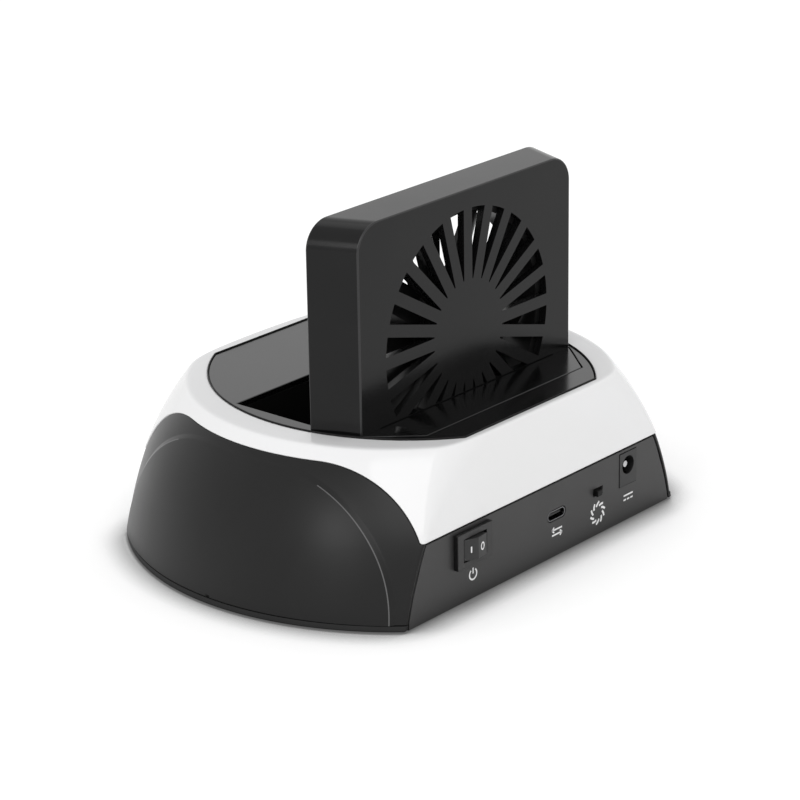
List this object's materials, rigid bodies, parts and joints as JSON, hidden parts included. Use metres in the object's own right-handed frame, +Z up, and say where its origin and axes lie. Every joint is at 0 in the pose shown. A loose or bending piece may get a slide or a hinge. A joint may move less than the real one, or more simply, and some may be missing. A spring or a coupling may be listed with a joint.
{
  "type": "hard drive docking station",
  "caption": "Docking station for a bare hard drive: rounded base with a drive slot in its deck, a cooling fan tower behind the slot, and switches and sockets on the rear panel.",
  "frame": {"origin": "on the table, under the middle of the bounding box of the whole part", "axes": "+X to the right seen from the front, +Y towards the rear panel, +Z up"},
  "size_m": [0.1806, 0.1265, 0.1176],
  "materials": {
    "white_shell": "gloss moulded white",
    "end_cap": "satin gloss moulded black",
    "deck": "high gloss black",
    "tower": "fine matte black",
    "panel": "fine matte dark grey",
    "tray": "matte black",
    "well": "matte black",
    "rubber": "soft matte",
    "fan_plastic": "satin black",
    "bronze": "sintered bronze",
    "iron": "stacked sheet",
    "copper": "enamelled copper wire",
    "magnet": "bonded ferrite",
    "steel": "plated steel",
    "board": "green board with lacquer",
    "chip": "moulded package",
    "connector": "moulded black",
    "gold": "plated contact",
    "switch_metal": "pressed steel",
    "lamp": "clear moulded lens",
    "lens": "clear moulded rod"
  },
  "bodies": {
    "base": {"bottom_tray": "tray", "rubber_feet": "rubber", "left_end_cap": "end_cap", "right_end_cap": "end_cap", "top_shell": "white_shell", "rear_panel": "panel", "front_panel": "panel", "deck": "deck", "drive_well": "well", "fan_plate": "deck", "tower_housing": "tower", "tower_front_cover": "tower", "fan_frame": "fan_plastic", "fan_bearing": "bronze", "fan_stator": "iron", "fan_coils": "copper", "fan_circuit": "board", "fan_screws": "steel", "main_board": "board", "board_parts": "chip", "sata_connector": "connector", "sata_contacts": "gold", "usb_c_shell": "steel", "usb_c_tongue": "connector", "dc_jack_body": "connector", "dc_jack_pin": "steel", "dc_jack_contact": "gold", "switch_housing": "connector", "switch_terminals": "gold", "slide_switch_body": "switch_metal", "indicator_lamp": "lamp", "light_pipe": "lens", "board_screws": "steel", "shell_screws": "steel"},
    "fan_wheel": {"fan_rotor": "fan_plastic", "fan_magnet": "magnet", "fan_shaft": "steel"},
    "rocker": {"power_rocker": "connector"},
    "fan_switch": {"fan_switch_slider": "connector"}
  },
  "joints": [
    {"name": "fan_spin", "type": "hinge", "parent": "base", "child": "fan_wheel", "pos_m": [0, 0.0225, 0.0713], "axis": [0, 1, 0], "continuous": true},
    {"name": "power_switch", "type": "hinge", "parent": "base", "child": "rocker", "pos_m": [0.0368, 0.0593, 0.0186], "axis": [0, 0, 1], "range_deg": [0, 18]},
    {"name": "fan_switch_slide", "type": "slide", "parent": "base", "child": "fan_switch", "axis": [-1, 0, 0], "range_m": [0, 0.002]}
  ]
}
